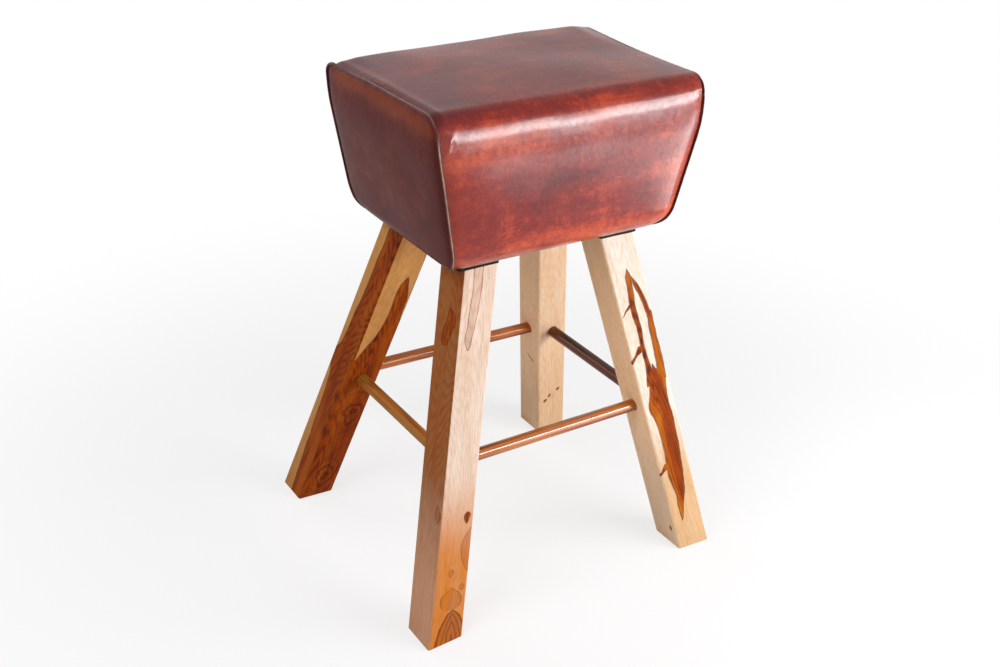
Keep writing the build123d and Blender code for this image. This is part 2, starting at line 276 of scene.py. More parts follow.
def mesh_object(name, points, faces, attributes=None):
    """A smooth-shaded mesh object at the origin, with float attributes on its points"""
    mesh = bpy.data.meshes.new(name)
    mesh.from_pydata(points.tolist(), [], [list(face) for face in faces])
    mesh.update()
    for title, values in (attributes or {}).items():
        layer = mesh.attributes.new(title, "FLOAT", "POINT")
        layer.data.foreach_set("value", np.ascontiguousarray(values.reshape(-1), np.float32))
    mesh.polygons.foreach_set("use_smooth", np.ones(len(mesh.polygons), bool))
    return placed(mesh)


def placed(data):
    """A new object in the scene for a mesh, a lamp or a camera, with its name"""
    piece = bpy.data.objects.new(data.name, data)
    bpy.context.scene.collection.objects.link(piece)
    return piece


def modify(piece, kind, **settings):
    """Gives a piece a modifier with its settings"""
    modifier = piece.modifiers.new(kind.lower(), kind)
    for name, value in settings.items():
        setattr(modifier, name, value)


def thicken(piece, thickness):
    """Gives a skin its thickness, inwards"""
    modify(piece, "SOLIDIFY", thickness=thickness, offset=-1)


def dress(piece, material, slot, *replaced):
    """Gives a piece its finish and the CAD nodes it stands for, and lets it ride; the slot is not
    used
    """
    piece.data.materials.clear()
    piece.data.materials.append(material)
    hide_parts(*replaced)
    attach(piece, "root")


def tube(name, path, radii, first_normals, second_normals, angle, attributes):
    """A round tube: each point of the path plus a circle in the plane of its two normals"""
    angle = angle[None, :, None]
    ring = np.cos(angle) * first_normals[:, None] + np.sin(angle) * second_normals[:, None]
    points = path[:, None] + radii[:, None, None] * ring
    return grid_object(name, points, closed_across=True, attributes=attributes)


# -------- node helpers


class Tree:
    """One node tree, with a method for each kind of node that the finishes use"""

    def __init__(self, tree):
        self.tree = tree

    def feed(self, socket, value):
        """Links a value to an input, or sets it there; a colour may be given without its alpha"""
        if isinstance(value, bpy.types.NodeSocket):
            self.tree.links.new(value, socket)
        elif socket.type == "RGBA":
            socket.default_value = (*value[:3], 1)
        else:
            socket.default_value = value

    def add(self, kind, inputs=None, **settings):
        """A shader node of a kind, with its settings, and its inputs linked or set"""
        node = self.tree.nodes.new(kind if kind.startswith("Node") else f"ShaderNode{kind}")
        for name, value in settings.items():
            setattr(node, name, value)
        for name, value in (inputs or {}).items():
            self.feed(node.inputs[name], value)
        return node

    def place(self):
        """The object's own coordinates"""
        return self.add("TexCoord").outputs["Object"]

    def attribute(self, name):
        """A float attribute of the mesh, nought where it has none"""
        return self.add("Attribute", attribute_name=name).outputs["Fac"]

    def maths(self, operation, *values, clamp=False):
        """One operation on its values"""
        inputs = dict(enumerate(values))
        return self.add("Math", inputs, operation=operation, use_clamp=clamp).outputs[0]

    def times(self, first, second, clamp=False):
        """The product of two values"""
        return self.maths("MULTIPLY", first, second, clamp=clamp)

    def most(self, *values):
        """The greatest of the values"""
        greatest, *others = values
        for value in others:
            greatest = self.maths("MAXIMUM", greatest, value)
        return greatest

    def weigh(self, *parts):
        """The sum of values, each given with its weight"""
        total = 0.0
        for value, weight in parts:
            total = self.maths("MULTIPLY_ADD", value, weight, total)
        return total

    def shifted(self, vector, drift, reach):
        """A vector moved by a drift times its reach"""
        inputs = {0: drift, 1: reach, 2: vector}
        return self.add("VectorMath", inputs, operation="MULTIPLY_ADD").outputs[0]

    def length(self, vector):
        """How long a vector is"""
        return self.add("VectorMath", {0: vector}, operation="LENGTH").outputs["Value"]

    def parts(self, vector):
        """A vector's X, Y and Z"""
        return self.add("SeparateXYZ", {"Vector": vector}).outputs

    def stretch(self, vector, scale, shift=(0, 0, 0)):
        """The vector times a scale, plus a shift"""
        inputs = {"Vector": vector, "Scale": scale, "Location": shift}
        return self.add("Mapping", inputs).outputs[0]

    def noise(self, vector, scale, detail=3.0, roughness=0.5, distortion=0.0, output=0):
        """A noise of a scale, as a value, or as a colour where that output is named"""
        titles = ("Vector", "Scale", "Detail", "Roughness", "Distortion")
        inputs = dict(zip(titles, (vector, scale, detail, roughness, distortion)))
        return self.add("TexNoise", inputs).outputs[output]

    def span(self, value, low, high, to_low=0.0, to_high=1.0, smooth=False):
        """The value carried from one range to another, and held inside it"""
        titles = ("Value", "From Min", "From Max", "To Min", "To Max")
        inputs = dict(zip(titles, (value, low, high, to_low, to_high)))
        kind = "SMOOTHSTEP" if smooth else "LINEAR"
        node = self.add("MapRange", inputs, clamp=True, interpolation_type=kind)
        return node.outputs["Result"]

    def blend(self, share, first, second):
        """Two colours mixed"""
        node = self.add("Mix", data_type="RGBA")
        for name, value in (("Factor", share), ("A", first), ("B", second)):
            self.feed(next(s for s in node.inputs if s.name == name and s.enabled), value)
        return next(s for s in node.outputs if s.enabled)

    def over(self, colour, *layers):
        """A colour with others laid over it in turn, each given with its share"""
        for share, layer in layers:
            colour = self.blend(share, colour, layer)
        return colour

    def curve(self, value, points):
        """A smooth curve through (x, y) points, both from 0 to 1"""
        node = self.add("FloatCurve", {"Value": value})
        line = node.mapping.curves[0]
        while len(line.points) < len(points):
            line.points.new(0.5, 0.5)
        for spot, (x, y) in zip(line.points, points):
            spot.location = (x, y)
            spot.handle_type = "AUTO_CLAMPED"
        node.mapping.update()
        return node.outputs[0]

    def lay(self, shader, colour, height, relief, rough=None):
        """Feeds a finish's colour, its height as a bump and its roughness to its shader"""
        inputs = {"Height": height, "Distance": relief, "Strength": 1.0}
        self.feed(shader["Base Color"], colour)
        self.feed(shader["Normal"], self.add("Bump", inputs).outputs[0])
        if rough is not None:
            self.feed(shader["Roughness"], rough)


def new_group(name, **inputs):
    """A shader group, its tree and its inner ends: inputs by kind, and the three outputs"""
    group = bpy.data.node_groups.new(name, "ShaderNodeTree")
    outputs = {"Color": ["Color"], "Float": ["Roughness", "Height"]}
    for way, kinds in (("INPUT", inputs), ("OUTPUT", outputs)):
        for kind, titles in kinds.items():
            for title in titles:
                group.interface.new_socket(title, in_out=way, socket_type=f"NodeSocket{kind}")
    tree = Tree(group)
    return group, tree, tree.add("NodeGroupInput").outputs, tree.add("NodeGroupOutput").inputs


def new_material(name, **constants):
    """A material with one Principled shader, whose constants are set on its own sockets"""
    material = bpy.data.materials.new(name)
    material.use_nodes = True
    material.node_tree.nodes.clear()
    tree = Tree(material.node_tree)
    shader = tree.add("BsdfPrincipled", constants)
    tree.add("OutputMaterial", {"Surface": shader.outputs[0]})
    return material, tree, shader.inputs


# -------- effects shared by finishes


def make_hide_group():
    """Leather polished by hand rubbing.

    Clouds, streaks from the rubbing pad, mottle, flecks and warmth add up to a tone that runs
    through the three colours. Beside a seam it turns to the bright one as a painted highlight, and
    creases darken as painted shade.
    Flecks and mottle make the gloss uneven, and with a pebble and the creases the height.
    """
    group, tree, given, out = new_group(
        "rubbed_hide",
        Vector=["Vector"],
        Float=["Seam", "Warm", "Cloud size", "Gloss"],
        Color=["Dark", "Middle", "Bright"],
    )
    vector = given["Vector"]
    cloud = tree.noise(vector, given["Cloud size"], 5.0, 0.6, 0.5)
    rub_streaks_and_highlight = tree.noise(tree.stretch(vector, (0.13, 1, 1)), 55.0, 4.0, 0.62, 0.3)
    mottle = tree.noise(vector, 120.0, 5.0, 0.7, 0.3)
    fleck = tree.noise(vector, 480.0, 3.0, 0.7)
    tone = tree.weigh(
        (cloud, 0.62), (mottle, 0.42), (rub_streaks_and_highlight, 0.36), (fleck, 0.26), (given["Warm"], 0.17)
    )
    tone = tree.span(tone, 0.62, 1.1)
    # Painted highlight: beside a seam the tone turns to the bright colour, broken up by the clouds
    wear_and_highlight = tree.times(given["Seam"], tree.span(cloud, 0.3, 0.6))
    crease = tree.noise(tree.stretch(vector, (1, 1, 0.3)), 42.0, 2.0, 0.5, 0.9)
    crease = tree.maths("ABSOLUTE", tree.maths("SUBTRACT", crease, 0.5))
    crease = tree.times(tree.span(crease, 0.0, 0.012, 1.0, 0.0), tree.span(mottle, 0.5, 0.62))
    colour = tree.over(
        given["Dark"],
        (tree.span(tone, 0.0, 0.45), given["Middle"]),
        (tree.span(tone, 0.45, 1.0), given["Bright"]),
        (tree.times(wear_and_highlight, 0.5), given["Bright"]),
        # Painted shade in the creases
        (tree.times(crease, 0.5), given["Dark"]),
    )
    tree.feed(out["Color"], colour)
    uneven = tree.weigh((mottle, 0.24), (fleck, 0.22))
    rough = tree.maths("ADD", given["Gloss"], tree.maths("SUBTRACT", uneven, 0.23))
    tree.feed(out["Roughness"], rough)
    pebble = tree.add(
        "TexVoronoi",
        {"Vector": vector, "Scale": 620.0, "Smoothness": 0.6},
        feature="SMOOTH_F1",
    ).outputs["Distance"]
    height = tree.weigh((fleck, 0.45), (pebble, -0.3), (mottle, 0.75), (crease, -0.5))
    tree.feed(out["Height"], height)
    return group


HEART_GOLD = (0.46, 0.14, 0.008)


def make_timber_group():
    """Sawn hardwood along Z.

    Growth rings run up the piece as long arches, with short pores. Pale sapwood drifts to tan,
    and turns to amber by Ripe, to brown streaks on a side tint by that tint's share, to heartwood
    with golden drifts and near-black streaks by Heart and Gold, and to its dark rim by Edge.
    """
    group, tree, given, out = new_group(
        "figured_timber",
        Vector=["Vector"],
        Float=["Heart", "Edge", "Ripe", "Side_share", "Streaks", "Gold", "Line pitch", "Gloss"],
        Color=["Side_tint", "Pale", "Tan", "Amber", "Brown", "Dark"],
    )
    vector, tan, brown = given["Vector"], given["Tan"], given["Brown"]
    long_grain = tree.stretch(vector, (1, 1, 0.13))
    drift = tree.noise(long_grain, 14.0, 3.0, 0.5, 0.5, "Color")
    lines = tree.add(
        "TexWave",
        {
            "Vector": tree.shifted(long_grain, drift, (0.07, 0.07, 0.05)),
            "Scale": given["Line pitch"],
            "Distortion": 1.2,
            "Detail": 2.0,
            "Detail Scale": 1.2,
            "Detail Roughness": 0.55,
        },
        wave_type="RINGS",
        rings_direction="SPHERICAL",
    ).outputs["Fac"]
    broad = tree.noise(long_grain, 40.0, 4.0, 0.6, 0.5)
    slow = tree.noise(long_grain, 12.0, 2.0, 0.5, 0.4)
    fibre = tree.noise(tree.stretch(vector, (1, 1, 0.035)), 240.0, 4.0, 0.7, 0.2)
    blotch = tree.noise(tree.stretch(vector, (1, 1, 0.4)), 45.0, 4.0, 0.6, 0.8)
    pores = tree.noise(tree.stretch(vector, (1, 1, 0.06)), 800.0, 2.0, 0.6)
    pores = tree.span(pores, 0.55, 0.7)
    shade = tree.weigh((broad, 0.38), (lines, 0.14), (fibre, 0.26), (blotch, 0.22))
    streaks = tree.times(tree.span(shade, 0.4, 0.72), given["Streaks"])
    golden = tree.times(tree.span(broad, 0.52, 0.36), given["Gold"])
    heart = tree.over(brown, (golden, HEART_GOLD), (tree.span(shade, 0.48, 0.66), given["Dark"]))
    colour = tree.over(
        given["Pale"],
        (tree.span(slow, 0.4, 0.75, 0.0, 0.3), tan),
        (given["Ripe"], given["Amber"]),
        (tree.span(broad, 0.42, 0.7, 0.0, 0.35), tan),
        (tree.times(lines, 0.16), tan),
        (tree.span(blotch, 0.5, 0.75, 0.0, 0.35), tan),
        (tree.times(tree.span(lines, 0.8, 1.0), 0.05), brown),
        (tree.span(fibre, 0.48, 0.72, 0.0, 0.22), brown),
        (given["Side_share"], tree.blend(streaks, given["Side_tint"], brown)),
        (given["Heart"], heart),
        (given["Edge"], given["Dark"]),
        (tree.times(pores, 0.3), brown),
    )
    tree.feed(out["Color"], colour)
    rough = tree.maths("ADD", given["Gloss"], tree.span(broad, 0.2, 0.8, -0.06, 0.06))
    tree.feed(out["Roughness"], rough)
    tree.feed(out["Height"], tree.weigh((lines, 0.15), (pores, -0.6)))
    return group


hide_group = make_hide_group()
timber_group = make_timber_group()

# -------- leather finishes
HIDE_RELIEF = 0.12 * MM


def hide_material(name, colours, cloud_size, ior, gloss, rub_streaks_and_highlight=None):
    """Polished leather: the hide group in its dark, middle and bright colours.

    The mesh's polish attribute gives a coat, broken up by specks. Where a highlight colour is
    given, the mesh's attribute of the same name lays it on unevenly, a painted highlight.
    """
    material, tree, shader = new_material(name, **{"IOR": ior, "Coat Roughness": 0.2})
    place = tree.place()
    speck = tree.noise(tree.stretch(place, (1, 1, 0.5)), 230.0, 5.0, 0.75, 0.4)
    speck = tree.span(speck, 0.36, 0.64, 0.45, 1.3)
    tree.feed(shader["Coat Weight"], tree.times(tree.attribute("polish"), speck, clamp=True))
    inputs = {
        "Vector": place,
        "Seam": tree.attribute("seam"),
        "Warm": tree.attribute("warm"),
        "Cloud size": cloud_size,
        "Gloss": gloss,
        **dict(zip(("Dark", "Middle", "Bright"), colours)),
    }
    hide = tree.add("Group", inputs, node_tree=hide_group).outputs
    colour = hide["Color"]
    # A painted highlight in the given pale colour, where the mesh's attribute marks it
    if rub_streaks_and_highlight:
        wear_and_highlight = tree.span(tree.noise(place, 70.0, 4.0, 0.7), 0.3, 0.6, 0.45, 1.0)
        colour = tree.blend(tree.times(tree.attribute("rub_streaks_and_highlight"), wear_and_highlight), colour, rub_streaks_and_highlight)
    tree.lay(shader, colour, hide["Height"], HIDE_RELIEF, hide["Roughness"])
    return material


wrap_hide = hide_material(
    "wrap_hide",
    ((0.105, 0.011, 0.014), (0.22, 0.02, 0.014), (0.52, 0.07, 0.02)),
    cloud_size=13.0,
    ior=1.26,
    gloss=0.22,
)
# The ends' copy of the seat leather, its colours darker than the wrap's as painted shade
end_hide = hide_material(
    "end_hide",
    ((0.062, 0.009, 0.009), (0.092, 0.013, 0.01), (0.18, 0.034, 0.013)),
    cloud_size=11.0,
    ior=1.14,
    gloss=0.36,
)
piping_hide = hide_material(
    "piping_hide",
    ((0.018, 0.004, 0.004), (0.07, 0.01, 0.008), (0.2, 0.03, 0.014)),
    cloud_size=30.0,
    ior=1.2,
    gloss=0.3,
    rub_streaks_and_highlight=(0.66, 0.4, 0.3),
)

# -------- leather pieces
# Orange or dark patches on the front: the middle's X and Z, the reach each way, the share
FRONT_PATCHES = (
    (-135 * MM, 718 * MM, 95 * MM, 32 * MM, 1.0),
    (-40 * MM, 650 * MM, 120 * MM, 40 * MM, -0.8),
)
# Painted light on the front's rounded foot: brighter below this level, over this depth
FOOT_LIGHT, FOOT_LIGHT_DEPTH = 600 * MM, 45 * MM
POLISH_LEAST, POLISH_FROM, POLISH_RISE = 0.35, 665 * MM, 50 * MM
# Painted shade: the top is darker to the left of a place, and near the left seam
TOP_SHADE_FROM, TOP_SHADE_FADE, TOP_SHADE_EDGE = -60 * MM, 130 * MM, 16 * MM
# Painted highlight: how far the wrap is lightened beside a seam. An end has painted shade there,
# and a painted highlight band under that
SEAM_HIGHLIGHT_REACH = 14 * MM
END_DARK, END_DARK_TOP, END_BAND, END_BAND_REACH = 12 * MM, 4 * MM, 16 * MM, 14 * MM
# The left piping's painted highlight, a pale line on its crown: how far out it is turned, how
# narrow it is, how fast it fades towards the top and the foot, and how far back it goes on top
HIGHLIGHT_TURN, HIGHLIGHT_NARROW = np.radians(32), 13
HIGHLIGHT_FADE, HIGHLIGHT_BACK = 20 * MM, 100 * MM


def warm_patches(x, z):
    """Where the front is orange, or dark below 0: a smooth hill for each patch, and a smooth step
    towards the foot, higher on the right, that is painted light on the foot's rounding"""
    foot = ease((FOOT_LIGHT - z) / FOOT_LIGHT_DEPTH) * (0.3 + 0.55 * ease((x + 120 * MM) / (100 * MM)))
    for middle_x, middle_z, reach_x, reach_z, share in FRONT_PATCHES:
        foot = foot + share * bell((x - middle_x) / reach_x, (z - middle_z) / reach_z)
    return foot


def make_wrap():
    """Front, top and back in one skin.

    A point of the side outline is carried along X by a share v of the half length at its level,
    and moved along the outline's normal: the walls swell and the top is crowned at mid length,
    and the leather dips and puckers beside the end seams.
    """
    v = shares(WRAP_COLUMNS)
    y, z = side_outline.T[:, :, None]
    normal_y, normal_z = side_normals.T[:, :, None]
    x = half_length(z) * v
    along = np.linspace(0, 1, len(side_outline))[:, None] * 0.9
    gap = half_length(z) * np.hypot(1, LEAN_X) * (1 - np.abs(v))
    z = z + 0 * x
    wall = np.abs(normal_y)
    top = normal_z.clip(0, 1)
    front, left, right = normal_y < 0, v < 0, v > 0
    rise = FRONT_SWELL * (1 - v**8) * dome(2 * (z - SEAT_Z) / SEAT_DEPTH - 1) * wall
    rise = rise + top_rise(y, v) * top + pleat(x, z, normal_y)
    rise = rise + seam_relief(gap, along, right * front * wall, right * top)
    rise = rise + slow_wave(x, along) * dome(v) * (normal_z > -0.5)
    rise = rise + ROLL_HEIGHT * bell((gap - ROLL_GAP) / ROLL_REACH) * top * left
    points = np.stack([x, y + normal_y * rise, z + normal_z * rise], -1)
    # Painted highlight beside the end seams, on the walls only
    seam = np.exp(-gap / SEAM_HIGHLIGHT_REACH) * (1 - top)
    # Painted shade on the top, towards the left and beside the left seam
    top_shade = ease((TOP_SHADE_FROM - x) / TOP_SHADE_FADE) + bell(gap / TOP_SHADE_EDGE) * left
    warm = warm_patches(x, z) * (1 - top) - top * (0.7 * top_shade - 0.05)
    polish = POLISH_LEAST + (1 - POLISH_LEAST) * ease((z - POLISH_FROM) / POLISH_RISE)
    polish = polish * (1 - top) ** 2 * front
    attributes = {"seam": seam, "warm": warm, "polish": polish}
    piece = grid_object("seat_wrap", points, attributes=attributes)
    thicken(piece, LEATHER)
    dress(piece, wrap_hide, "seat_leather", "leather_wrap")


def make_end_panel(side, name):
    """One end's skin.

    A point of the end outline is carried along Y by a share v of the half width at its level, and
    moved along the outline's normal: it swells in the middle and dips beside the seams. Its upper
    part follows the top's rise, and on the right its top edge is turned in under the wrap's.
    """
    v = shares(END_COLUMNS)
    rows = 1 - (1 - np.linspace(0, 1, END_ROWS)) ** 1.6
    spots = np.linspace(0, 1, len(end_outline))
    x, z, normal_x, normal_z = (
        np.interp(rows, spots, column)[:, None] for column in (*end_outline.T, *end_normals.T)
    )
    front, back = front_and_back(z)
    across = (back - front) / 2
    y = (front + back) / 2 + across * v
    middle = dome(2 * (z - SEAT_Z) / SEAT_DEPTH - 1)
    gap_side = across * (1 - np.abs(v))
    gap_top = SEAM_Z - z + 0 * y
    rise = END_SWELL * (1 - v**6) * middle + slow_wave(y, z) * dome(v) * middle
    rise = rise + seam_relief(np.minimum(gap_side, gap_top), y + z)
    follow = top_rise(y, side) * ease((z - SEAM_Z) / TOP_ROUND + 1)
    follow = follow - TURN_IN * np.exp(-gap_top / TURN_IN_REACH) * (side > 0)
    points = np.stack([side * (x + normal_x * rise), y, z + normal_z * rise + follow], -1)
    if side > 0:
        points = points[:, ::-1]
    # Painted shade beside the side seams and just under the top seam, and a painted highlight band
    # below that
    beside = np.exp(-gap_side / END_DARK)
    seam = bell((gap_top - END_BAND) / END_BAND_REACH) * (1 - beside)
    warm = 1.4 * seam - 1.2 * beside - np.exp(-gap_top / END_DARK_TOP)
    piece = grid_object(name, points, attributes={"seam": seam, "warm": warm})
    thicken(piece, LEATHER)
    dress(piece, end_hide, "seat_leather", name.replace("seat_end", "end_panel"))


def make_piping(side, name):
    """A round welt along one end seam, with both its tails turned in under the seat.

    Its line is the side outline at the half length of each level, moved out a little along both
    panels' normals. The circle lies in the plane of those normals, and shrinks to a round end.
    """
    keep = side_outline[:, 1] > SEAT_Z + PIPING_TAIL
    y, z = side_outline[keep].T
    normal = np.zeros((len(y), 3))
    normal[:, 1:] = side_normals[keep]
    x = half_length(z)
    end_x, end_z = (np.interp(z, end_outline[:, 1], column) for column in end_normals.T)
    end = np.stack([side * end_x, 0 * x, end_z], 1)
    z = z + top_rise(y, side) * side_normals[keep][:, 1].clip(0, 1)
    line = np.stack([side * x, y, z], 1) + PIPING_PROUD[side] * (normal + end)
    tangent = np.gradient(line, axis=0)
    tangent /= np.linalg.norm(tangent, axis=1)[:, None]
    normal -= (normal * tangent).sum(1)[:, None] * tangent
    normal /= np.linalg.norm(normal, axis=1)[:, None]
    second = np.cross(tangent, normal)
    end_gap = np.arange(len(line))
    end_gap = np.minimum(end_gap, end_gap[::-1]) * np.linalg.norm(line[1] - line[0])
    full = PIPING_RADIUS[side]
    radius = full * np.sqrt(1 - (1 - end_gap / full).clip(0, 0.999) ** 2)
    angle = np.linspace(0, 2 * np.pi, PIPING_TURNS, endpoint=False)
    # A painted highlight: a pale line along the left piping's crown, on its front and on top
    outer = np.sign((second * end).sum(1))[:, None] * HIGHLIGHT_TURN
    crown = np.cos(angle - outer).clip(0, 1) ** HIGHLIGHT_NARROW
    front = ease(-normal[:, 1] / 0.4) * ease((SEAM_Z - z) / HIGHLIGHT_FADE - 1)
    front = front * ease((z - SEAT_Z) / HIGHLIGHT_FADE - 0.5)
    above = normal[:, 2].clip(0, 1) ** 2 * ease(1 - y / HIGHLIGHT_BACK)
    rub_streaks_and_highlight = crown * (front + 0.45 * above)[:, None] * (side < 0)
    piece = tube(name, line, radius, normal, second, angle, {"rub_streaks_and_highlight": rub_streaks_and_highlight})
    dress(piece, piping_hide, "piping_leather", name.replace("seat_welt", "piping"))


make_wrap()
for side, word in ((-1, "left"), (1, "right")):
    make_end_panel(side, f"seat_end_{word}")
    make_piping(side, f"seat_welt_{word}")

# -------- foam and dust cover
FOAM_VOXEL = 5 * MM
FOAM_SHRINK = 8 * MM
CLOTH_SAG = 2.5 * MM


def make_foam():
    """Soft foam pads from the solids' own: merged, remeshed and drawn in"""
    material, tree, shader = new_material("open_cell_foam", Roughness=0.9)
    cells = tree.add("TexVoronoi", {"Vector": tree.place(), "Scale": 700.0})
    tone = tree.span(cells.outputs["Distance"], 0.1, 0.7)
    colour = tree.blend(tone, (0.86, 0.8, 0.6), (0.62, 0.55, 0.36))
    tree.lay(shader, colour, tone, 0.5 * MM)
    for word in ("top", "front", "back", "left", "right"):
        mesh = nodes[f"foam_{word}"].data.copy()
        mesh.name = f"foam_pad_{word}"
        piece = placed(mesh)
        modify(piece, "WELD", merge_threshold=0.01 * MM)
        modify(piece, "REMESH", mode="VOXEL", voxel_size=FOAM_VOXEL, use_smooth_shade=True)
        modify(piece, "DISPLACE", mid_level=0, strength=-FOAM_SHRINK)
        dress(piece, material, "foam", f"foam_{word}")


def make_dust_cover():
    """A thin black cloth, flat where it is clamped, that sags in the middle by the product of two
    squared parabolas, one along and one across"""
    low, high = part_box("dust_cover")
    half_x, half_y = high.x, high.y
    u = np.linspace(-1, 1, 90)[:, None]
    v = np.linspace(-1, 1, 70)[None, :]
    sag = CLOTH_SAG * dome(u / 0.6) ** 2 * dome(v / 0.95) ** 2
    points = np.stack([half_x * u + 0 * v, half_y * v + 0 * u, high.z - sag], -1)
    piece = grid_object("dust_cloth", points)
    thicken(piece, high.z - low.z)
    material, tree, shader = new_material("black_cloth", Roughness=0.95)
    fibres = tree.noise(tree.place(), 900.0, 4.0, 0.7)
    colour = tree.blend(fibres, (0.008, 0.008, 0.008), (0.045, 0.043, 0.042))
    tree.lay(shader, colour, fibres, 0.2 * MM)
    dress(piece, material, "dust_cloth", "dust_cover")


make_foam()
make_dust_cover()

# -------- timber finishes
HEART_BROWN = (0.27, 0.043, 0.003)
HEART_DARK = (0.06, 0.01, 0.004)
# Left-face tints: the brown one, on the front-left leg, is darker wood and partly painted shade
# towards the top
SIDE_BROWN = (0.3, 0.118, 0.036)
SIDE_CREAM = (0.9, 0.6, 0.36)
TIMBER_RELIEF = 0.12 * MM
# Turns that lay the timber group's grain, which runs along Z, along X or Y
ALONG_X = {"Rotation": (0, np.pi / 2, 0)}
ALONG_Y = {"Rotation": (np.pi / 2, 0, 0)}


def tones(pale, tan, amber=None, brown=HEART_BROWN, dark=HEART_DARK, face_tint=SIDE_BROWN):
    """The timber group's colours by their inputs' names"""
    amber = amber or tan
    titles = ("Pale", "Tan", "Amber", "Brown", "Dark", "Side_tint")
    return dict(zip(titles, (pale, tan, amber, brown, dark, face_tint)))


def timber_shader(
    name, turn, figure_of, colours, pitch=90.0, gloss=0.5, coat=0.0, streaks=1.0, gold=0.85
):
    """Waxed timber, by the timber group.

    turn is the Mapping that lays its grain along the piece. figure_of builds its masks in the
    material's own tree: heartwood, its edge, ripe sapwood and a side tint's share.
    """
    constants = {"IOR": 1.1, "Coat Weight": coat, "Coat Roughness": 0.05, "Coat IOR": 1.65}
    material, tree, shader = new_material(name, **constants)
    vector = tree.add("Mapping", {"Vector": tree.place(), **turn}).outputs[0]
    inputs = {"Vector": vector, **colours}
    inputs.update(zip(("Heart", "Edge", "Ripe", "Side_share"), figure_of(tree, vector)))
    inputs.update({"Streaks": streaks, "Gold": gold, "Line pitch": pitch, "Gloss": gloss})
    wood = tree.add("Group", inputs, node_tree=timber_group).outputs
    tree.lay(shader, wood["Color"], wood["Height"], TIMBER_RELIEF, wood["Roughness"])
    return material


def paint_node(name, material):
    """Gives a CAD node's object a finish in place of its plain one"""
    slots = nodes[name].data.materials
    slots.clear()
    slots.append(material)


def streaked(share, under=None):
    """A heartwood mask in long streaks over a share of the wood, and all under a level if given, a
    painted shade on an underside
    """

    def build(tree, vector):
        streak = tree.noise(tree.stretch(vector, (1, 1, 0.1)), 34.0, 3.0, 0.55, 0.6)
        heart = tree.span(streak, 0.62 - 0.3 * share, 0.7 - 0.3 * share)
        if under is not None:
            level = tree.parts(vector)[0]
            level = tree.maths("MULTIPLY_ADD", streak, 6 * MM, level)
            heart = tree.most(heart, tree.span(level, under + 3 * MM, under + 1 * MM))
        return heart, 0.0, 0.0, 0.0

    return build


def leg_turn(name):
    """The Mapping that carries the object's place into the leg's own: Z up its centre line from
    the middle of its sole, X across its front, in metres"""
    mesh = nodes[name].data
    points = np.zeros(len(mesh.vertices) * 3)
    mesh.vertices.foreach_get("co", points)
    points = points.reshape(-1, 3)
    ends = []
    for level in (points[:, 2].min(), points[:, 2].max()):
        cut = points[np.abs(points[:, 2] - level) < 0.1 * MM]
        ends.append((cut.min(0) + cut.max(0)) / 2)
    foot, top = ends
    axis = Vector(top - foot).normalized()
    across = Vector((1, 0, -axis.x / axis.z)).normalized()
    turn = Matrix((across, axis.cross(across), axis))
    return {"Location": -(turn @ Vector(foot)), "Rotation": turn.to_euler("XYZ")}


# How far a noise bends a leg's strokes, in shares of the stock, and where a face begins
WOBBLE = 0.06
FACE = 0.46 * LEG_STOCK
# Each kind of stroke's heartwood: where it starts and is full, inside its edge, and how strong
STROKE_KINDS = {
    "solid": (-0.004, 0.01, 1.0),
    "nested": (-0.004, 0.01, 0.55),
    "faint": (-0.006, 0.012, 0.28),
}
RIM_STRENGTH = 0.85


def stroke_room(tree, height, place, on_face, spots):
    """How far a place lies inside a stroke: less than nought outside it, and -1 past its ends or
    off its face"""
    spots = np.array(spots) / 1000
    middle = tree.curve(height, [(z, 0.5 + 0.5 * x) for z, x, _ in spots])
    width = tree.curve(height, [(z, 0.5 * w) for z, _, w in spots])
    off = tree.maths("ABSOLUTE", tree.maths("SUBTRACT", place, middle))
    room = tree.maths("ADD", tree.maths("SUBTRACT", width, off), 1.0)
    above = tree.maths("GREATER_THAN", height, spots[0][0])
    below = tree.maths("LESS_THAN", height, spots[-1][0])
    return tree.maths("MULTIPLY_ADD", room, tree.times(tree.times(above, below), on_face), -1.0)


def knot_shade(tree, vector, x, z, size):
    """Dark rings round a place on the front: a sine of the distance, swirled by a noise"""
    radius = size * LEG_STOCK
    swirl = tree.noise(vector, 30.0, 2.0, 0.55, 0.6, "Color")
    swirl = tree.shifted(vector, swirl, (1.5 * radius,) * 3)
    shift = 0.75 * radius
    place = (-x * LEG_STOCK - shift, 0, -0.55 * (z * LEG_LENGTH + shift))
    far = tree.length(tree.stretch(swirl, (1, 0, 0.55), place))
    far = tree.maths("DIVIDE", far, radius)
    rings = tree.maths("SINE", tree.times(far, 16.0))
    return tree.times(tree.span(rings, -0.3, 1.0, 0.0, 0.75), tree.span(far, 1.1, 0.5))


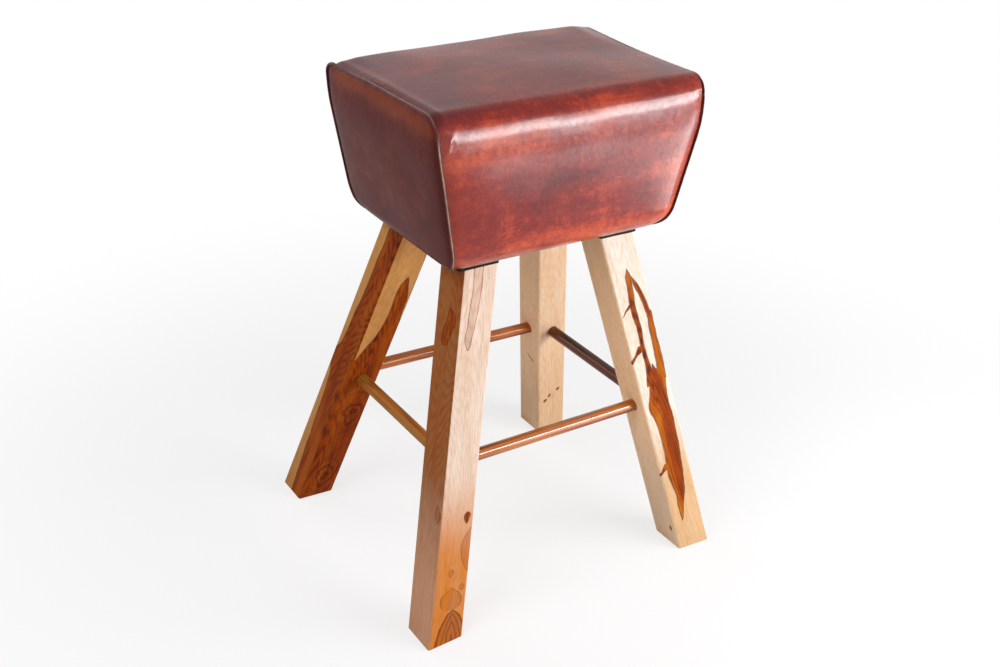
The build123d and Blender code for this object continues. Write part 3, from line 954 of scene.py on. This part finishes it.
def figure(strokes, knots, ripe_low, side_strength):
    """Heartwood drawn as strokes that run up a leg, its knots, and the drift of its sapwood.

    A stroke is on the leg's front and back or on its sides, and its middle line and half width
    are smooth curves over the height. The mask is how far a place, bent by a noise, lies inside
    the widest stroke of its kind, with a dark rim. A faint stroke is a light tint, and a nested
    one is lined like an arch of growth rings. The sapwood ripens towards the foot by ripe_low,
    less on the left face, which turns to a side tint towards the top by the side strength. On the
    front-left leg that brown tint is darker wood and partly painted shade.
    """

    def build(tree, vector):
        drift = tree.noise(tree.stretch(vector, (1, 1, 0.35)), 60.0, 3.0, 0.6, output="Color")
        bent = tree.shifted(vector, drift, (2 * WOBBLE * LEG_STOCK,) * 3)
        bent, plain = tree.parts(bent), tree.parts(vector)
        height = tree.maths("DIVIDE", bent[2], LEG_LENGTH)
        places, on_face = {}, {}
        for face, axis, other in (("front", 0, 1), ("side", 1, 0)):
            centre = 0.5 - 0.5 * WOBBLE
            places[face] = tree.maths("MULTIPLY_ADD", bent[axis], 0.5 / LEG_STOCK, centre)
            reach = tree.maths("ABSOLUTE", plain[other])
            on_face[face] = tree.maths("GREATER_THAN", reach, FACE)
        inside = dict.fromkeys(STROKE_KINDS, -1.0)
        for (face, kind), members in strokes.items():
            rooms = (
                stroke_room(tree, height, places[face], on_face[face], spots) for spots in members
            )
            inside[kind] = tree.most(inside[kind], *rooms)
        heart = tree.most(
            *(
                tree.span(inside[kind], start, full, 0.0, strength, smooth=True)
                for kind, (start, full, strength) in STROKE_KINDS.items()
            )
        )
        rim = tree.maths("ABSOLUTE", tree.most(inside["solid"], inside["nested"]))
        rim = tree.span(rim, 0.0, 0.014, RIM_STRENGTH, 0.0, smooth=True)
        thin = tree.maths("ABSOLUTE", inside["faint"])
        heart = tree.most(heart, tree.span(thin, 0.0, 0.013, RIM_STRENGTH, 0.0, smooth=True))
        lines = tree.span(tree.maths("SINE", tree.times(inside["nested"], 95.0)), 0.4, 1.0)
        lines = tree.times(lines, tree.span(inside["nested"], 0.0, 0.01, 0.0, 0.55))
        rim = tree.most(rim, lines)
        for knot in knots:
            rim = tree.most(rim, tree.times(knot_shade(tree, vector, *knot), on_face["front"]))
        ripe = tree.span(height, 0.5, 0.2, 0.0, ripe_low, smooth=True)
        left_face = tree.maths("LESS_THAN", plain[0], -FACE)
        ripe = tree.times(ripe, tree.maths("MULTIPLY_ADD", left_face, -0.45, 1.0))
        # The left face's tint, strongest towards the top; on the front-left leg it is partly
        # painted shade
        upper = tree.span(height, 0.1, 0.5, 0.2, 1.0, smooth=True)
        return heart, rim, ripe, tree.times(tree.times(left_face, upper), side_strength)

    return build


# Each leg's strokes by face and kind: how far up, its middle and its half width, in thousandths
# of the leg's length and stock
LEG_FIGURES = {
    "front_right": {
        ("front", "solid"): [
            [(540, -50, 160), (600, -40, 90), (660, -60, 60), (720, -40, 70), (780, -60, 80),
             (820, -20, 90), (860, 20, 90), (895, 20, 0)],
            [(540, 320, 120), (600, 350, 110), (660, 350, 90), (715, 370, 80), (735, 410, 100),
             (760, 340, 60), (800, 280, 60), (840, 200, 50), (870, 120, 0)],
            [(90, -170, 0), (130, -100, 80), (170, -30, 140), (210, -10, 190), (270, 0, 250),
             (340, 50, 250), (420, 60, 290), (470, 0, 320), (520, 80, 270), (560, 150, 260),
             (585, 120, 50), (600, 120, 0)],
            [(625, -500, 30), (637, -400, 50), (650, -220, 100), (668, -100, 80)],
            [(768, -420, 0), (775, -320, 30), (786, -180, 50), (795, -100, 50)],
            [(258, -540, 0), (265, -450, 60), (275, -300, 100), (290, -200, 100)],
        ],
        ("side", "solid"): [[(66, -360, 0), (76, -350, 40), (86, -360, 0)]],
    },
    "front_left": {
        ("front", "faint"): [
            [(780, -170, 0), (810, -180, 90), (840, -130, 100), (890, -90, 110), (940, -60, 120),
             (1000, -60, 130)],
            [(88, 20, 100), (110, 40, 300), (135, 40, 180), (150, 40, 0)],
            [(190, 470, 0), (220, 420, 140), (260, 430, 220), (290, 440, 140), (312, 460, 0)],
            [(180, -40, 0), (191, -40, 60), (202, -40, 0)],
            [(138, 320, 0), (148, 320, 60), (158, 320, 0)],
        ],
        ("front", "nested"): [
            [(-10, 140, 460), (20, 140, 420), (45, 140, 340), (70, 130, 220), (88, 120, 0)],
        ],
        ("side", "faint"): [[(325, -360, 0), (345, -360, 100), (372, -360, 0)]],
        ("front", "solid"): [[(321, 270, 0), (332, 270, 60), (345, 290, 80), (353, 300, 0)]],
        ("side", "solid"): [
            [(782, 60, 0), (795, 20, 130), (830, -100, 180), (860, -200, 150), (884, -100, 0)],
        ],
    },
    "back_left": {
        ("front", "solid"): [
            [(0, 150, 750), (300, 150, 780), (500, 120, 700), (560, 120, 550), (600, 140, 420),
             (660, 200, 260), (720, 220, 200), (780, 200, 180), (820, 160, 120), (850, 200, 0)],
        ],
        ("side", "solid"): [
            [(0, -340, 340), (200, -240, 380), (340, -180, 380), (440, -120, 420), (500, -50, 560),
             (560, -120, 420), (660, -160, 380), (800, -200, 320), (1000, -220, 280)],
        ],
    },
    "back_right": {
        ("front", "solid"): [
            [(160, -260, 0), (168, -240, 50), (176, -220, 0)],
            [(178, -110, 0), (186, -90, 50), (194, -70, 0)],
            [(190, 210, 0), (197, 230, 50), (204, 250, 0)],
        ],
        ("side", "solid"): [[(345, -220, 0), (352, -120, 40), (358, 0, 40), (362, 80, 0)]],
    },
}
# Each knot's place across the front and up the leg, and its size in shares of the stock
LEG_KNOTS = {"back_left": [(0.12, 0.35, 0.46), (0.02, 0.1, 0.46)]}
# Each leg's pale, tan and amber, how far it ripens, its left face's tint if it has one, how
# strongly that is streaked, and how golden its heartwood is. The front-left leg's brown tint is
# partly painted shade
LEG_TONES = {
    "front_left": (
        ((0.7, 0.57, 0.48), (0.52, 0.3, 0.16), (0.54, 0.155, 0.01)), 1.0, SIDE_BROWN, 1.0, 0.85
    ),
    "front_right": (
        ((0.7, 0.64, 0.56), (0.6, 0.41, 0.25), (0.52, 0.32, 0.16)), 1.0, SIDE_CREAM, 0.1, 0.85
    ),
    "back_left": (((0.54, 0.27, 0.09), (0.36, 0.14, 0.035)), 0.3, None, 0.0, 0.3),
    "back_right": (
        ((0.62, 0.44, 0.3), (0.5, 0.31, 0.16), (0.5, 0.31, 0.15)), 0.3, SIDE_CREAM, 0.1, 0.85
    ),
}
for word, (sapwood, ripe_low, face_tint, streaks, gold) in LEG_TONES.items():
    leg_finish = timber_shader(
        f"timber_{word}",
        leg_turn(f"leg_{word}"),
        figure(LEG_FIGURES[word], LEG_KNOTS.get(word, []), ripe_low, 1.0 if face_tint else 0.0),
        tones(*sapwood, face_tint=face_tint or SIDE_BROWN),
        streaks=streaks,
        gold=gold,
    )
    paint_node(f"leg_{word}", leg_finish)

# Painted shade: under this level the front rung's underside is all dark heartwood colour
RUNG_SHADE_LEVEL = 243 * MM
# Each rung's turn, share of heartwood and coat, and its pale, tan and brown
RUNGS = {
    "front": (ALONG_X, 0.42, 1.0, (0.42, 0.115, 0.006), (0.32, 0.07, 0.004), (0.2, 0.03, 0.004)),
    "back": (ALONG_X, 0.45, 0.35, (0.48, 0.15, 0.032), (0.36, 0.08, 0.014), (0.22, 0.04, 0.01)),
    "left": (ALONG_Y, 0.4, 0.12, (0.34, 0.16, 0.03), (0.26, 0.1, 0.014), (0.2, 0.06, 0.012)),
    "right": (ALONG_Y, 0.6, 0.35, (0.16, 0.04, 0.012), (0.09, 0.02, 0.007), (0.04, 0.01, 0.005)),
}
for word, (turn, heart_share, coat, pale, tan, brown) in RUNGS.items():
    rung_finish = timber_shader(
        f"rung_timber_{word}",
        turn,
        streaked(heart_share, RUNG_SHADE_LEVEL if word == "front" else None),
        tones(pale, tan, brown=brown),
        pitch=120.0,
        gloss=0.4,
        coat=coat,
    )
    paint_node(f"rung_{word}", rung_finish)

BOX_BROWN = (0.4, 0.25, 0.12)
BOX_TONES = tones(
    (0.66, 0.5, 0.32), (0.52, 0.36, 0.2), None, BOX_BROWN, (0.2, 0.11, 0.05), BOX_BROWN
)
box_timber = timber_shader("box_timber", ALONG_X, streaked(0.1), BOX_TONES, pitch=60.0, gloss=0.6)
for name in ("base_board", "top_board", "frame_front", "frame_back", "frame_left", "frame_right"):
    paint_node(name, box_timber)

# -------- metal finishes


def metal_material(name, colour, wear_and_highlight, metallic, rough, ior):
    """Metal whose colour and roughness drift with a fine noise"""
    material, tree, shader = new_material(name, Metallic=metallic, IOR=ior)
    drift = tree.noise(tree.place(), 260.0, 4.0, 0.6)
    colour = tree.blend(tree.span(drift, 0.4, 0.7), colour, wear_and_highlight)
    tree.lay(shader, colour, drift, 0.05 * MM, tree.span(drift, 0.3, 0.7, rough, rough + 0.12))
    return material


plate_finish = metal_material(
    "black_plate", (0.008, 0.008, 0.008), (0.02, 0.018, 0.017), metallic=0.0, rough=0.5, ior=1.15
)
zinc_finish = metal_material(
    "zinc_steel", (0.52, 0.52, 0.5), (0.4, 0.39, 0.36), metallic=1.0, rough=0.32, ior=1.5
)
for word in LEG_NAMES:
    paint_node(f"leg_plate_{word}", plate_finish)
for name in ("lag_screws", "lag_washers", "box_screws", "leather_staples", "cover_staples"):
    paint_node(name, zinc_finish)

# -------- stage, light and camera
FLOOR_SIZE = 12.0
FLOOR_WHITE = (0.88, 0.88, 0.88)
# The floor glows by this share up to the first distance from the stool, and fully past the second
FLOOR_GLOW, FLOOR_NEAR, FLOOR_FAR = 0.7, 0.5, 1.4
# The world's light on the stool, where the camera and reflections see 1
WORLD_LEVEL = 0.2
CAMERA_AZIMUTH = np.radians(-34.895)
CAMERA_ELEVATION = np.radians(28.124)
CAMERA_ROLL = np.radians(3.335)
CAMERA_PLACE = (-1.0015, -1.4294, 1.2683)
FOCAL_SHARE = 1.27778
SENSOR_WIDTH = 36
# Each lamp's place, the point it faces, its width and height, and its watts
SEAT_MIDDLE = (0, 0, 0.7)
STOOL_MIDDLE = (0, 0, 0.5)
LAMPS = {
    "key": ((1.2, -1.52, 0.92), SEAT_MIDDLE, 1.5, 0.42, 37),
    "key_foot": ((1.4, -1.42, 0.45), SEAT_MIDDLE, 1.0, 0.5, 2),
    "low_right": ((0.95, -1.1, 0.1), (0.0, -0.1, 0.45), 0.9, 0.5, 5.5),
    "fill_left": ((-1.6, -0.3, 1.9), STOOL_MIDDLE, 1.4, 1.4, 25),
    "side_right": ((1.00, -0.68, 0.22), (0.2, -0.1, 0.65), 0.35, 0.6, 4),
    "back": ((-0.8, 2.1, 1.2), STOOL_MIDDLE, 2.0, 1.2, 12),
}


def make_camera():
    """The photograph's camera: placed, aimed by azimuth and elevation, then rolled"""
    across, ahead = -np.sin(CAMERA_AZIMUTH), np.cos(CAMERA_AZIMUTH)
    level, down = np.cos(CAMERA_ELEVATION), -np.sin(CAMERA_ELEVATION)
    forward = Vector((across * level, ahead * level, down))
    data = bpy.data.cameras.new("camera")
    data.sensor_width = SENSOR_WIDTH
    data.lens = FOCAL_SHARE * SENSOR_WIDTH
    camera = placed(data)
    camera.location = CAMERA_PLACE
    aim = forward.to_track_quat("-Z", "Y").to_matrix()
    camera.rotation_euler = (aim @ Matrix.Rotation(CAMERA_ROLL, 3, "Z")).to_euler()
    bpy.context.scene.camera = camera


def seen_or_mirrored(tree):
    """One for a ray from the camera or from a glossy or clear surface, and nought for the rest"""
    path = tree.add("LightPath").outputs
    return tree.most(*(path[f"Is {kind} Ray"] for kind in ("Glossy", "Transmission", "Camera")))


def make_floor():
    """A white floor that keeps the stool's shadow and fades into the white background"""
    half = FLOOR_SIZE / 2
    corners = np.array([(-half, -half, 0), (half, -half, 0), (half, half, 0), (-half, half, 0)])
    floor = mesh_object("floor", corners, [(0, 1, 2, 3)])
    material, tree, shader = new_material("floor_white", Roughness=0.9)
    tree.feed(shader["Base Color"], FLOOR_WHITE)
    far = tree.length(tree.place())
    far = tree.span(far, FLOOR_NEAR, FLOOR_FAR, FLOOR_GLOW, 1.0, smooth=True)
    share = tree.times(far, seen_or_mirrored(tree))
    glow = tree.add("Emission", {"Strength": 1.0}).outputs[0]
    output = next(node for node in tree.tree.nodes if node.type == "OUTPUT_MATERIAL")
    surface = output.inputs["Surface"].links[0].from_socket
    mixed = tree.add("MixShader", {0: share, 1: surface, 2: glow}).outputs[0]
    tree.feed(output.inputs["Surface"], mixed)
    floor.data.materials.append(material)


def make_world():
    """White to the camera and in reflections, and a soft studio grey as light"""
    world = bpy.data.worlds.new("studio")
    bpy.context.scene.world = world
    world.use_nodes = True
    world.node_tree.nodes.clear()
    tree = Tree(world.node_tree)
    strength = tree.span(seen_or_mirrored(tree), 0.0, 1.0, WORLD_LEVEL, 1.0)
    glow = tree.add("Background", {"Color": (1, 1, 1), "Strength": strength})
    tree.add("OutputWorld", {"Surface": glow.outputs[0]})


def make_lamps():
    """Rectangular lamps: a wide one for the glare, weak ones near it, and large ones to fill"""
    for name, (place, aim, width, height, watts) in LAMPS.items():
        data = bpy.data.lights.new(name, "AREA")
        data.shape = "RECTANGLE"
        data.size, data.size_y = width, height
        data.energy = watts
        lamp = placed(data)
        lamp.location = place
        lamp.visible_camera = False
        lamp.rotation_euler = (Vector(aim) - Vector(place)).to_track_quat("-Z", "Y").to_euler()


make_camera()
make_floor()
make_world()
make_lamps()
bpy.context.scene.view_settings.view_transform = "Standard"
